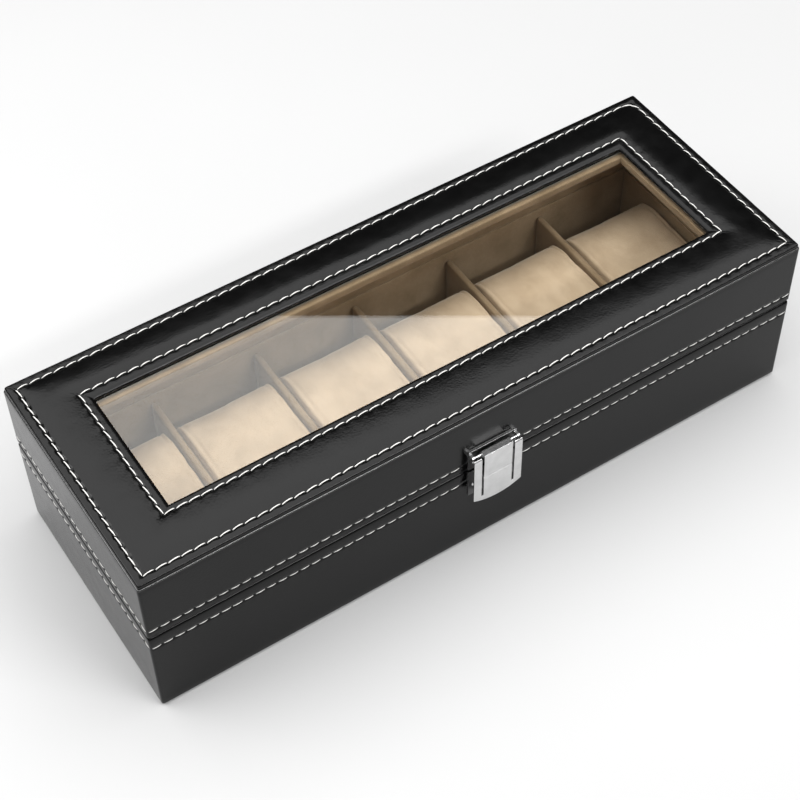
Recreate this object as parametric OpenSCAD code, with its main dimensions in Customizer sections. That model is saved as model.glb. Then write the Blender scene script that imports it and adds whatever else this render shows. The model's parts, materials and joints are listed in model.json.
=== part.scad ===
// Watch box: a leather-covered case with a velvet-lined base, a hinged lid with a
// glass window in a padded top, loose cushions in compartments, and a flap latch.
// Millimetres. +X is right, +Y is back, +Z is up. The origin is the middle of the
// underside. The lid is drawn closed.

/* [Box] */
// Outside length, left to right
box_len = 300; // [280:1:330]
// Outside depth, front to back
box_dep = 110; // [106:1:124]
// Height with the lid closed
box_h = 80.4; // [80:0.2:90]
// Height of the parting line between base and lid
seam_z = 46.8; // [46.8:0.1:49]
// Gap between the two rims at the parting line
seam_gap = 0.6; // [0.4:0.1:0.8]
// Rounding of the upright edges
edge_r = 1.2; // [1:0.1:2]

/* [Walls and skins] */
// Thickness of the fibreboard walls
board_t = 6; // [5:0.5:7]
// Thickness of the leather
leather_t = 1; // [0.8:0.1:1.2]
// Thickness of the velvet wall linings, with their card
lining_t = 2; // [1:0.5:2.5]
// Thickness of the floor board
floor_t = 5; // [3:0.5:6]
// Thickness of the floor lining
floor_lining_t = 1.5; // [1:0.5:2]
// Thickness of the felt under the base
felt_t = 1; // [0.8:0.1:1.5]
// Width of the leather turned in under the base
hem_w = 10; // [8.5:0.5:14]

/* [Lid top and window] */
// Width of the padded border between the box's edge and the window
border_w = 25.5; // [22:0.5:30]
// Thickness of the padded top panel, leather over foam
pad_t = 2.4; // [2:0.1:3]
// How far the top panel's edge stands in from the walls
panel_inset = 0.5; // [0.2:0.1:0.8]
// Height of the dark gap under the top panel's edge
panel_gap = 0.3; // [0.2:0.1:0.5]
// Thickness of the lid's top board
top_board_t = 4.5; // [4:0.1:5.5]
// Thickness of the window glass
glass_t = 2; // [1.5:0.1:2]
// Thickness of the black tape round the velvet, under the glass
tape_t = 0.6; // [0.4:0.1:0.8]
// Width of the rebate that holds the glass
rebate_w = 5; // [4:0.5:6]
// Thickness of the velvet round the window and on the ceiling
trim_t = 1; // [0.8:0.1:1.2]
// How far the velvet stands in past the top leather's edge, as a ledge under the glass
ledge = 1; // [0:0.1:1.5]
// Width of the velvet folded under the glass
fold_w = 3; // [2.5:0.1:3.5]

/* [Compartments] */
// Number of compartments, each with a cushion
slots = 6; // [4:1:6]
// Thickness of a divider
divider_t = 3; // [2:0.5:4]
// Height of the dividers' tops above the ground
divider_top = 43; // [38:0.5:44]

/* [Cushions] */
// Depth of a cushion, front to back
cushion_dep = 74; // [60:1:84]
// Height of a cushion
cushion_h = 36; // [30:0.5:36]
// Free space on each side of a cushion
cushion_gap = 0.5; // [0.4:0.1:1.5]
// Rounding of a cushion's long edges
cushion_r = 15; // [10:0.5:15]
// Thickness of a cushion's velvet cover
cover_t = 1.2; // [0.8:0.1:2]
// Length of the closing slit under a cushion's cover
slit_len = 30; // [20:1:36]

/* [Hinges] */
// Distance of each hinge from the middle of the box
hinge_x = 90; // [60:1:110]
// Width of a hinge
hinge_w = 24; // [22:1:30]
// Length of a hinge's middle knuckle
knuckle_w = 9.4; // [8:0.2:10]
// Radius of the hinge barrel
barrel_r = 2; // [1.8:0.1:2]
// Distance from the back wall to the hinge axis
hinge_out = 2.3; // [2.3:0.1:2.6]
// Thickness of a hinge leaf
leaf_t = 0.6; // [0.5:0.1:0.7]
// Depth of a hinge leaf on the rim
leaf_dep = 6; // [5:0.5:6]
// Radius of the hinge pin
hinge_pin_r = 0.9; // [0.8:0.1:1]
// Length of the hinge screws
screw_len = 8; // [6:1:14]

/* [Latch] */
// Width of the latch plates
plate_w = 22.2; // [22:0.2:24]
// Thickness of the latch plates and the flap
sheet_t = 0.6; // [0.5:0.1:0.6]
// Height of the latch axis
latch_z = 56.2; // [55.6:0.1:57]
// Distance from the front wall to the latch axis
latch_out = 2.3; // [2.3:0.1:2.6]
// Distance from the front wall to the flap's face
flap_out = 4.7; // [4.7:0.1:5.2]
// Width of the flap
flap_w = 22.4; // [21.6:0.2:22.6]
// Width of the flap's middle tongue
tongue_w = 13.2; // [12.4:0.2:13.6]
// Width of the two slots beside the tongue
slot_w = 1; // [0.8:0.1:1.2]
// Height of the flap's lower corners
flap_corner_z = 32; // [31:0.1:33]
// How far the flap's curved edge dips below its corners
flap_dip = 2.7; // [2:0.1:3.5]
// Radius of the latch pin
latch_pin_r = 0.6; // [0.5:0.1:0.6]
// Height of the crease across the tongue
crease_z = 44; // [43:0.1:44.6]

/* [Hidden] */
$fn = 64;
cut = 1; // overshoot of a cutting shape
run_gap = 0.05; // running clearance of a pin in its knuckle
part_gap = 0.3; // space between pieces that move past each other
glass_gap = 0.25; // space round the glass in its rebate
pilot_gap = 0.05; // space round a screw or rivet in its hole

// Heights, from the ground up
base_top = seam_z - seam_gap / 2;
lid_bottom = seam_z + seam_gap / 2;
hem_top = felt_t + leather_t;
floor_top = hem_top + floor_t;
slot_floor = floor_top + floor_lining_t;
board_top = box_h - pad_t;
top_board_z = board_top - top_board_t;
ceiling_z = top_board_z - trim_t;
glass_z = board_top - glass_t;
tape_z = glass_z - tape_t;
wall_top = board_top - panel_gap;

// Lengths and depths of the nested shells, as [x, y] pairs
outside = [box_len, box_dep];
board_out = outside - 2 * leather_t * [1, 1];
board_in = board_out - 2 * board_t * [1, 1];
lined_in = board_in - 2 * lining_t * [1, 1];
window = outside - 2 * border_w * [1, 1];
velvet_window = window - 2 * ledge * [1, 1];
board_window = velvet_window + 2 * trim_t * [1, 1];
velvet_fold = velvet_window + 2 * fold_w * [1, 1];
rebate = board_window + 2 * rebate_w * [1, 1];
panel = outside - 2 * panel_inset * [1, 1];

// Compartments and cushions
slot_len = (lined_in[0] - (slots - 1) * divider_t) / slots;
slot_pitch = slot_len + divider_t;
cushion_len = slot_len - 2 * cushion_gap;
slit_w = 0.4;
fill_gap = 0.1;

// Hinges
hinge_y = box_dep / 2 + hinge_out;
hinge_half = hinge_w / 2;
leaf_front = -hinge_out - leaf_dep;
leaf_reach = -1.3; // the leaf runs this close to the axis, inside the barrel's wall
outer_knuckles = [[-hinge_half, -knuckle_w / 2 - part_gap], [knuckle_w / 2 + part_gap, hinge_half]];
middle_knuckle = [[-knuckle_w / 2, knuckle_w / 2]];
screw_x = 7.5;
screw_y = leaf_front + leaf_dep / 2;
screw_r = 0.75;
screw_head_r = 1.5;

// Latch
front_y = -box_dep / 2;
latch_y = front_y - latch_out;
plate_above = 2; // from the latch axis to the bracket's upper edge
plate_top = latch_z + plate_above;
rim_space = 0.5; // from a rim to the plate beside it
bracket_bottom = lid_bottom + rim_space;
keeper_bottom = 31.5;
keeper_top = base_top - rim_space;
ear_r = 1.1;
ear_w = 1.2;
roll_r = latch_out - sheet_t - part_gap;
flap_face = latch_out - flap_out; // the flap's front face, measured from the axis
flap_back = flap_face + sheet_t;
flap_corner = flap_corner_z - latch_z;
flap_arc_r = (pow(flap_w / 2, 2) + pow(flap_dip, 2)) / (2 * flap_dip);
strip_top = -0.3; // where the side strips start to bend back
strip_bend = 0.8; // length of that bend
tongue_slope = -3; // slope of the tongue's top, which drops a little on its way back to its roll
slot_end = 1.6; // from the flap's lower corners up to the middle of the slots' round ends
slot_bottom = flap_corner + slot_end;
crease = crease_z - latch_z;
crease_in = 0.5;
crease_half = 0.8;
nose_r = 1.2;
nose_w = 12;
nose_y = front_y - flap_out + sheet_t + crease_in + part_gap + nose_r;
nose_drop = 1.1; // from the crease down to the middle of the keeper's nose
nose_z = crease_z - nose_drop;
rivet_x = 8;
bracket_rivet_z = 51.5;
keeper_rivet_z = 37.5;
rivet_r = 0.8;
rivet_head_r = 1.5;
rivet_head_t = 0.6;
rivet_len = 5;

leather_black = "#1c1c1e";
velvet_beige = "#b9a586";
board_brown = "#a98a63";
foam_cream = "#ded9c8";
felt_black = "#26262a";
bright_nickel = "#d4d4d2";
window_clear = [0.8, 0.88, 0.9, 0.35];
tape_black = "#101010";

slot_names = [for (n = [1:slots]) str("cushion_", n)];

// ---- Helper shapes ----

// Block between two x, two y and two z values
module block(x, y, z)
    translate([x[0], y[0], z[0]]) cube([x[1] - x[0], y[1] - y[0], z[1] - z[0]]);

// Block centred on the z axis, of an [x, y] size, between two heights
module centred(size, z)
    block([-size[0] / 2, size[0] / 2], [-size[1] / 2, size[1] / 2], z);

// Rectangle with true round corners
module round_rect(size, r) {
    square([size[0] - 2 * r, size[1]], center = true);
    square([size[0], size[1] - 2 * r], center = true);
    for (x = [-1, 1], y = [-1, 1])
        translate([x * (size[0] / 2 - r), y * (size[1] / 2 - r)]) circle(r);
}

// Centred block with round upright edges
module round_block(size, z, r)
    translate([0, 0, z[0]]) linear_extrude(z[1] - z[0]) round_rect(size, r);

// Flat frame: a centred block with a centred opening
module flat_frame(size, opening, z)
    difference() {
        centred(size, z);
        centred(opening, [z[0] - cut, z[1] + cut]);
    }

// Cylinder along x between two x values
module rod(x, r)
    translate([x[0], 0, 0]) rotate([0, 90, 0]) cylinder(h = x[1] - x[0], r = r);

// Section in the y-z plane, run along x between two x values
module run_x(x)
    translate([x[0], 0, 0]) rotate([90, 0, 90]) linear_extrude(x[1] - x[0]) children();

// ---- Hinges: shared places and parts ----

// Each hinge's axis. The children are drawn about it, with y and z from the axis.
module at_hinge(side)
    translate([side * hinge_x, hinge_y, seam_z]) children();

module at_hinges()
    for (side = [-1, 1]) at_hinge(side) children();

// The two screw places of one base leaf, at the rim's height
module at_base_screws()
    for (x = [-screw_x, screw_x]) translate([x, screw_y, -seam_gap / 2]) children();

// Screw with a countersunk head, its top at z = 0, pointing down
module screw(gap = 0) {
    translate([0, 0, -leaf_t]) cylinder(h = leaf_t, r1 = screw_r + gap, r2 = screw_head_r + gap);
    translate([0, 0, -screw_len]) cylinder(h = screw_len - leaf_t / 2, r = screw_r + gap);
}

// The room that a screw needs in the leaf, the leather and the board
module screw_hole() {
    screw(pilot_gap);
    cylinder(h = cut, r = screw_head_r + pilot_gap);
}

// Holes for the screws of both base leaves. Mirrored, they are the lid's.
module screw_holes()
    at_hinges() at_base_screws() screw_hole();

// Room for both base leaves in the leather of the rim
module leaf_pockets()
    at_hinges()
        block([-hinge_half, hinge_half], [leaf_front, 0], [-seam_gap / 2 - leaf_t, cut]);

// The same cuts for the lid, mirrored at the parting line
module for_lid()
    translate([0, 0, 2 * seam_z]) mirror([0, 0, 1]) children();

// Leaf with its plate on the base's rim. Mirrored, it is a lid leaf.
module leaf(knuckles, bore_r) {
    plate_z = [-seam_gap / 2 - leaf_t, -seam_gap / 2];
    difference() {
        union() {
            block([-hinge_half, hinge_half], [leaf_front, -hinge_out], plate_z);
            for (x = knuckles) {
                rod(x, barrel_r);
                block(x, [-hinge_out - cut, leaf_reach], plate_z);
            }
        }
        rod([-hinge_half - cut, hinge_half + cut], bore_r);
        at_base_screws() screw_hole();
    }
}

module base_leaf(side)
    color(bright_nickel) at_hinge(side) leaf(outer_knuckles, hinge_pin_r);

module lid_leaf(side)
    color(bright_nickel)
        at_hinge(side) mirror([0, 0, 1]) leaf(middle_knuckle, hinge_pin_r + run_gap);

module hinge_pin(side)
    color(bright_nickel) at_hinge(side) rod([-hinge_half, hinge_half], hinge_pin_r);

module hinge_base_screws()
    color(bright_nickel) at_hinges() at_base_screws() screw();

module hinge_lid_screws()
    color(bright_nickel) for_lid() at_hinges() at_base_screws() screw();

// ---- Latch ----

// Rivet driven back through a latch plate, whose back is at y = 0, into the front board
module rivet()
    translate([0, -sheet_t, 0]) {
        rotate([90, 0, 0]) cylinder(h = rivet_head_t, r1 = rivet_head_r, r2 = rivet_head_r / 2);
        translate([0, -rivet_head_t / 2, 0])
            rotate([-90, 0, 0]) cylinder(h = rivet_head_t / 2 + sheet_t + rivet_len, r = rivet_r);
    }

module at_rivets(z)
    for (x = [-rivet_x, rivet_x]) translate([x, front_y, z]) children();

// Straight holes for the rivets, through the plate and the leather into the board
module rivet_holes(z)
    at_rivets(z)
        translate([0, -sheet_t - cut, 0]) rotate([-90, 0, 0])
            cylinder(h = sheet_t + cut + rivet_len + pilot_gap, r = rivet_r + pilot_gap);

// Flat plate on the front wall, between two heights
module latch_plate(z)
    block([-plate_w / 2, plate_w / 2], [front_y - sheet_t, front_y], z);

// Plate on the lid with a round ear at each end, which hold the latch pin
module latch_bracket()
    color(bright_nickel) difference() {
        union() {
            latch_plate([bracket_bottom, plate_top]);
            for (side = [-1, 1]) {
                inner = plate_w / 2 - ear_w;
                ear_x = side > 0 ? [inner, plate_w / 2] : [-plate_w / 2, -inner];
                translate([0, latch_y, latch_z]) {
                    rod(ear_x, ear_r);
                    block(ear_x, [0, latch_out - sheet_t / 2], [-ear_r, ear_r]);
                }
            }
        }
        translate([0, latch_y, latch_z]) rod([-plate_w, plate_w], latch_pin_r);
        rivet_holes(bracket_rivet_z);
    }

module latch_pin()
    color(bright_nickel)
        translate([0, latch_y, latch_z]) rod([-plate_w / 2, plate_w / 2], latch_pin_r);

// Outline of the flap from the front: straight sides and a curved lower edge
module flap_outline() {
    bottom = flap_corner - flap_dip;
    difference() {
        intersection() {
            translate([-flap_w / 2, bottom]) square([flap_w, strip_top - bottom]);
            translate([0, bottom + flap_arc_r]) union() {
                circle(flap_arc_r, $fn = 128);
                translate([-flap_w, -flap_arc_r + flap_dip]) square(2 * flap_w);
            }
        }
        for (side = [-1, 1])
            translate([side * (tongue_w / 2 + slot_w / 2), slot_bottom]) {
                circle(slot_w / 2, $fn = 32);
                translate([-slot_w / 2, 0]) square([slot_w, 2 * latch_z]);
            }
    }
}

// Section of a side strip's bent top, in y and z from the axis
module strip_top_section() {
    bend = strip_bend * [cos(45), sin(45)];
    inward = sheet_t * [cos(45), -sin(45)];
    outer = [flap_face, strip_top];
    polygon([outer, outer + bend, outer + bend + inward, [flap_back, strip_top - sheet_t * tan(22.5)]]);
}

// Section of the tongue's top, from the flap's face back to its roll
module tongue_top_section() {
    meet = [-sin(tongue_slope), cos(tongue_slope)];
    run = (flap_face - roll_r * meet[0]) / cos(tongue_slope);
    outer = roll_r * meet + run * [cos(tongue_slope), sin(tongue_slope)];
    inner_z = outer[1] - sheet_t * tan(45 - tongue_slope / 2);
    polygon([
        outer,
        roll_r * meet,
        (roll_r - sheet_t) * meet,
        [flap_back, inner_z],
        [flap_back, strip_top - cut],
        [flap_face, strip_top - cut]
    ]);
}

// Wedge that stands in from a face of the tongue at the crease, and reaches out past that face
module crease_section(face, depth, past)
    polygon([
        [face - past, crease - crease_half],
        [face, crease - crease_half],
        [face + depth, crease],
        [face, crease + crease_half],
        [face - past, crease + crease_half]
    ]);

module latch_flap()
    color(bright_nickel) translate([0, latch_y, latch_z]) difference() {
        union() {
            translate([0, flap_back, 0]) rotate([90, 0, 0]) linear_extrude(sheet_t) flap_outline();
            for (side = [-1, 1]) {
                inner = tongue_w / 2 + slot_w;
                run_x(side > 0 ? [inner, flap_w / 2] : [-flap_w / 2, -inner]) strip_top_section();
            }
            run_x([-tongue_w / 2, tongue_w / 2]) {
                tongue_top_section();
                crease_section(flap_back, crease_in, sheet_t / 2);
            }
            rod([-tongue_w / 2, tongue_w / 2], roll_r);
        }
        rod([-flap_w, flap_w], latch_pin_r + run_gap);
        run_x([-tongue_w / 2 - slot_w / 2, tongue_w / 2 + slot_w / 2])
            crease_section(flap_face, sheet_t / 2, cut);
    }

// Plate on the base with a nose that the flap's crease closes over
module latch_keeper()
    color(bright_nickel) difference() {
        union() {
            latch_plate([keeper_bottom, keeper_top]);
            translate([0, nose_y, nose_z]) {
                nose_x = [-nose_w / 2, nose_w / 2];
                rod(nose_x, nose_r);
                block(nose_x, [0, front_y - nose_y - sheet_t / 2], [-nose_r, nose_r]);
            }
        }
        rivet_holes(keeper_rivet_z);
    }

module latch_bracket_rivets()
    color(bright_nickel) at_rivets(bracket_rivet_z) rivet();

module latch_keeper_rivets()
    color(bright_nickel) at_rivets(keeper_rivet_z) rivet();

// ---- Base ----

module base_felt()
    color(felt_black) round_block(outside - 2 * edge_r * [1, 1], [0, felt_t], edge_r);

// Leather wrapped round the base's boards, turned in over the rim and underneath
module base_wall_leather()
    color(leather_black) difference() {
        round_block(outside, [felt_t, base_top], edge_r);
        centred(board_out, [hem_top, base_top - leather_t]);
        centred(board_in, [hem_top, base_top + cut]);
        centred(outside - 2 * hem_w * [1, 1], [felt_t - cut, hem_top + cut]);
        leaf_pockets();
        screw_holes();
        rivet_holes(keeper_rivet_z);
    }

module base_floor_board()
    color(board_brown) centred(board_in, [hem_top, floor_top]);

// Front or back wall board, along the full length. side is -1 in front, 1 at the back.
module long_board(side, z) {
    y = side > 0 ? [board_in[1] / 2, board_out[1] / 2] : [-board_out[1] / 2, -board_in[1] / 2];
    block([-board_out[0] / 2, board_out[0] / 2], y, z);
}

// Left or right wall board, between the long ones
module short_board(side, z) {
    x = side > 0 ? [board_in[0] / 2, board_out[0] / 2] : [-board_out[0] / 2, -board_in[0] / 2];
    block(x, [-board_in[1] / 2, board_in[1] / 2], z);
}

// Lining on a long wall, and the one on a short wall between two of them
module long_lining(side, z) {
    y = side > 0 ? [lined_in[1] / 2, board_in[1] / 2] : [-board_in[1] / 2, -lined_in[1] / 2];
    block([-board_in[0] / 2, board_in[0] / 2], y, z);
}

module short_lining(side, z) {
    x = side > 0 ? [lined_in[0] / 2, board_in[0] / 2] : [-board_in[0] / 2, -lined_in[0] / 2];
    block(x, [-lined_in[1] / 2, lined_in[1] / 2], z);
}

base_board_z = [hem_top, base_top - leather_t];
base_lining_z = [floor_top, base_top];

module base_front_board()
    color(board_brown) difference() {
        long_board(-1, base_board_z);
        rivet_holes(keeper_rivet_z);
    }

module base_back_board()
    color(board_brown) difference() {
        long_board(1, base_board_z);
        screw_holes();
    }

module base_side_board(side)
    color(board_brown) short_board(side, base_board_z);

module base_long_lining(side)
    color(velvet_beige) long_lining(side, base_lining_z);

module base_short_lining(side)
    color(velvet_beige) short_lining(side, base_lining_z);

module base_floor_lining()
    color(velvet_beige) centred(lined_in, [floor_top, slot_floor]);

// Divider between compartments n and n + 1, counted from the left
module divider(n) {
    x = -lined_in[0] / 2 + n * slot_pitch - divider_t;
    color(velvet_beige)
        block([x, x + divider_t], [-lined_in[1] / 2, lined_in[1] / 2], [slot_floor, divider_top]);
}

// ---- Cushions ----

// Closed bar with round long edges, smaller than the cushion by inset all round
module cushion_bar(inset)
    run_x([-cushion_len / 2 + inset, cushion_len / 2 - inset])
        round_rect([cushion_dep - 2 * inset, cushion_h - 2 * inset], cushion_r - inset);

module at_cushion(n)
    translate([-lined_in[0] / 2 + slot_len / 2 + (n - 1) * slot_pitch, 0, slot_floor + cushion_h / 2])
        children();

// Velvet cover, closed but for the slit underneath that the filling goes in by
module cushion_cover(n)
    color(velvet_beige) at_cushion(n) difference() {
        cushion_bar(0);
        cushion_bar(cover_t);
        block([-slit_len / 2, slit_len / 2], [-slit_w / 2, slit_w / 2], [-cushion_h, 0]);
    }

module cushion_filling(n)
    color(foam_cream) at_cushion(n) cushion_bar(cover_t + fill_gap);

// ---- Lid ----

lid_board_z = [lid_bottom + leather_t, top_board_z];
lid_lining_z = [lid_bottom, ceiling_z];

module lid_front_board()
    color(board_brown) difference() {
        long_board(-1, lid_board_z);
        rivet_holes(bracket_rivet_z);
    }

module lid_back_board()
    color(board_brown) difference() {
        long_board(1, lid_board_z);
        for_lid() screw_holes();
    }

module lid_side_board(side)
    color(board_brown) short_board(side, lid_board_z);

// Top board with the window opening and the rebate for the glass
module lid_top_board()
    color(board_brown) difference() {
        flat_frame(board_out, board_window, [top_board_z, board_top]);
        centred(rebate, [tape_z, board_top + cut]);
    }

// Leather wrapped round the lid's boards, turned in over the rim
module lid_wall_leather()
    color(leather_black) difference() {
        round_block(outside, [lid_bottom, wall_top], edge_r);
        centred(board_out, [lid_bottom + leather_t, wall_top + cut]);
        centred(board_in, [lid_bottom - cut, lid_bottom + leather_t + cut]);
        for_lid() leaf_pockets();
        for_lid() screw_holes();
        rivet_holes(bracket_rivet_z);
    }

// Leather over the padded top, turned down at its outer edge and round the window
module lid_top_leather()
    color(leather_black) difference() {
        round_block(panel, [board_top, box_h], edge_r);
        flat_frame(
            panel - 2 * leather_t * [1, 1],
            window + 2 * leather_t * [1, 1],
            [board_top - cut, box_h - leather_t]
        );
        centred(window, [board_top - cut, box_h + cut]);
    }

module lid_top_foam()
    color(foam_cream)
        flat_frame(
            panel - 2 * leather_t * [1, 1],
            window + 2 * leather_t * [1, 1],
            [board_top, box_h - leather_t]
        );

module window_tape()
    color(tape_black)
        flat_frame(rebate - 2 * glass_gap * [1, 1], velvet_fold, [tape_z, glass_z]);

module window_glass()
    color(window_clear) centred(rebate - 2 * glass_gap * [1, 1], [glass_z, board_top]);

// Velvet on the underside of the top board, turned up round the window's edge and
// folded out over the rebate, where the glass lies on it
module lid_ceiling_velvet()
    color(velvet_beige) union() {
        flat_frame(board_in, velvet_window, [ceiling_z, top_board_z]);
        flat_frame(board_window, velvet_window, [ceiling_z, glass_z]);
        flat_frame(velvet_fold, velvet_window, [tape_z, glass_z]);
    }

module lid_long_lining(side)
    color(velvet_beige) long_lining(side, lid_lining_z);

module lid_short_lining(side)
    color(velvet_beige) short_lining(side, lid_lining_z);

// ---- Nodes ----

base_felt();
base_wall_leather();
base_floor_board();
base_front_board();
base_back_board();
base_side_board(-1);  // base_left_board
base_side_board(1);  // base_right_board
base_long_lining(-1);  // base_front_lining
base_long_lining(1);  // base_back_lining
base_short_lining(-1);  // base_left_lining
base_short_lining(1);  // base_right_lining
base_floor_lining();
for (n = [1:slots - 1]) divider(n);
for (n = [1:slots]) cushion_cover(n);
for (n = [1:slots]) cushion_filling(n);
lid_front_board();
lid_back_board();
lid_side_board(-1);  // lid_left_board
lid_side_board(1);  // lid_right_board
lid_top_board();
lid_wall_leather();
lid_top_foam();
lid_top_leather();
window_tape();
lid_ceiling_velvet();
lid_long_lining(-1);  // lid_front_lining
lid_long_lining(1);  // lid_back_lining
lid_short_lining(-1);  // lid_left_lining
lid_short_lining(1);  // lid_right_lining
base_leaf(-1);  // hinge_left_base_leaf
lid_leaf(-1);  // hinge_left_lid_leaf
hinge_pin(-1);  // hinge_left_pin
base_leaf(1);  // hinge_right_base_leaf
lid_leaf(1);  // hinge_right_lid_leaf
hinge_pin(1);  // hinge_right_pin
hinge_base_screws();
hinge_lid_screws();
latch_bracket();
latch_pin();
latch_flap();
latch_keeper();
latch_bracket_rivets();
latch_keeper_rivets();
window_glass();
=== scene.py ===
import json
import math

import bmesh
import bpy
import numpy as np
from mathutils import Matrix, Vector

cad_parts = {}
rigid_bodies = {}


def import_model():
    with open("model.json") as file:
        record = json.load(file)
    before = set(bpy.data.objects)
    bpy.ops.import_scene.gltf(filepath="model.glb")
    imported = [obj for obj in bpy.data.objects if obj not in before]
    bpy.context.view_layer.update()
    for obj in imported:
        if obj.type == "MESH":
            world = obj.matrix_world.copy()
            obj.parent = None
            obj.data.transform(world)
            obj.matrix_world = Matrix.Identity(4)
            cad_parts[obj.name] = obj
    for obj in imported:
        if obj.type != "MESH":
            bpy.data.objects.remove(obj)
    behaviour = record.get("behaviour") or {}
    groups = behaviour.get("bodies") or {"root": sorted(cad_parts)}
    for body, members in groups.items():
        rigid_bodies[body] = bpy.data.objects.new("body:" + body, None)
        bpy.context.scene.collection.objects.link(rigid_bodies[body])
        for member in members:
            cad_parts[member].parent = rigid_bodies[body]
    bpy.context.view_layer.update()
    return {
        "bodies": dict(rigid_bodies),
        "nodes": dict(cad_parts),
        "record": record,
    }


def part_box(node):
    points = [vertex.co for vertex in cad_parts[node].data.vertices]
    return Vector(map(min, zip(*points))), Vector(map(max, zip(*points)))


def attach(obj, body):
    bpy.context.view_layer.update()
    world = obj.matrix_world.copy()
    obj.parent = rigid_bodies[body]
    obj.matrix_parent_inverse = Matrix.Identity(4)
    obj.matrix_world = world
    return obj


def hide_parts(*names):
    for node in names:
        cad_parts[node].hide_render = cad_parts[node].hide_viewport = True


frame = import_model()
scene = bpy.context.scene
MM = 0.001

# ---------------------------------------------------------------- sizes, read from the frame

base_lo, base_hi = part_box("base_wall_leather")
lid_lo, lid_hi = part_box("lid_wall_leather")
panel_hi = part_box("lid_top_leather")[1]
glass_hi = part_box("window_glass")[1]
ceiling_lo, ceiling_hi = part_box("lid_ceiling_velvet")
tape_lo, tape_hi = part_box("window_tape")
board_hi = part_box("base_floor_board")[1]
bracket_lo, bracket_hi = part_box("latch_bracket")
keeper_lo, keeper_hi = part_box("latch_keeper")
leaf_boxes = {
    side: (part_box(f"hinge_{side}_base_leaf"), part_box(f"hinge_{side}_lid_leaf"))
    for side in ("left", "right")
}
pad_z = glass_hi.z                      # the top panel's underside
leather_t = 1.0 * MM
hem_w = 10.0 * MM                       # leather turned in under the base
rim_w = base_hi.x - board_hi.x          # leather and board together
border_w = 25.5 * MM                    # from the case's edge to the window
panel_inset = base_hi.x - panel_hi.x
ledge = 1.0 * MM                        # the velvet's ledge inside the leather's window
fold_w = 3.0 * MM                       # velvet folded out under the glass
top_stitch_in = (4.1 * MM, 21.4 * MM)   # the top's two stitch rows, from the case's edge
lid_stitch_z = 51.0 * MM
base_stitch_z = 40.0 * MM
lid_rim_r = 0.9 * MM                    # rounding of the lid's lower edge
base_rim_r = 1.4 * MM                   # rounding of the base's upper edge
hem_r = 0.9 * MM                        # rounding of the base's lower edge
wall_top_r = 0.6 * MM                   # rounding of the lid wall's upper edge, which is burnished
upright_r = 1.2 * MM                    # rounding of the case's four upright edges
leather_cell = 0.85 * MM                # width of the leather's mesh cells along its bands


# ---------------------------------------------------------------- mesh helpers


def new_object(name, mesh):
    piece = bpy.data.objects.new(name, mesh)
    scene.collection.objects.link(piece)
    return piece


def mesh_object(name, points, faces):
    mesh = bpy.data.meshes.new(name)
    mesh.from_pydata([tuple(p) for p in points], [], [tuple(f) for f in faces])
    mesh.validate()
    mesh.shade_smooth()
    return new_object(name, mesh)


def dress(piece, body, slot, material, *nodes):
    """The piece's material, its body and the CAD nodes it stands for, which are hidden; slot is not used."""
    piece.data.materials.clear()
    piece.data.materials.append(material)
    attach(piece, body)
    if nodes:
        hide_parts(*nodes)
    return piece


def ripple(points, wavelength, seed):
    """Smooth pseudo-random height from -1 to 1 at each point: a sum of seeded sine waves."""
    waves = 7
    draw = np.random.RandomState(seed)
    total = np.zeros(points.shape[:-1])
    for _ in range(waves):
        direction = draw.normal(size=3)
        direction /= np.linalg.norm(direction)
        k = 2 * math.pi / (wavelength * draw.uniform(0.6, 1.6))
        total += np.sin(points @ direction * k + draw.uniform(0, 2 * math.pi))
    return total / waves * 1.4


def bump(x, width):
    return np.exp(-((x / width) ** 2))


def side_positions(length, cell):
    count = max(2, round(length / cell))
    return np.linspace(-0.5, 0.5, count + 1)


def rectangle_loop(half_x, half_y, radius, long_at, short_at, arc):
    """Points round a rectangle with round corners, anticlockwise from the front left, with the side of each
    point (0 front, 1 right, 2 back, 3 left, -1 corner)."""
    points, sides = [], []
    sx, sy = 2 * (half_x - radius), 2 * (half_y - radius)
    corners = [(half_x - radius, -half_y + radius, -90), (half_x - radius, half_y - radius, 0),
               (-half_x + radius, half_y - radius, 90), (-half_x + radius, -half_y + radius, 180)]
    runs = [
        [(u * sx, -half_y) for u in long_at],
        [(half_x, u * sy) for u in short_at],
        [(-u * sx, half_y) for u in long_at],
        [(-half_x, -u * sy) for u in short_at],
    ]
    for side in range(4):
        points += runs[side]
        sides += [side] * len(runs[side])
        cx, cy, start = corners[side]
        for k in range(1, arc):
            a = math.radians(start + 90 * k / arc)
            points.append((cx + radius * math.cos(a), cy + radius * math.sin(a)))
            sides.append(-1)
    return points, sides


def band(name, half_x, half_y, section, corner, cell, shape=None):
    """Closed band round a rectangle. section is the closed outline as (inset, z), and shape may move its
    points."""
    arc, least = 5, 0.3 * MM    # steps round a corner, and its least radius
    long_at, short_at = side_positions(2 * half_x, cell), side_positions(2 * half_y, cell)
    rows = []
    for inset, z in section:
        loop, sides = rectangle_loop(
            half_x - inset, half_y - inset, max(corner - inset, least), long_at, short_at, arc)
        rows.append([(x, y, z) for x, y in loop])
    grid = np.array(rows)
    if shape is not None:
        grid = shape(grid, np.array(section), np.array(sides))
    rows_n, cols_n = grid.shape[:2]
    index = np.arange(rows_n * cols_n).reshape(rows_n, cols_n)
    across = np.roll(index, -1, axis=0)
    along = np.roll(index, -1, axis=1)
    both = np.roll(across, -1, axis=1)
    faces = np.stack([index, across, both, along], axis=-1).reshape(-1, 4)
    piece = mesh_object(name, grid.reshape(-1, 3), faces)
    outward(piece)
    return piece


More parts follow.
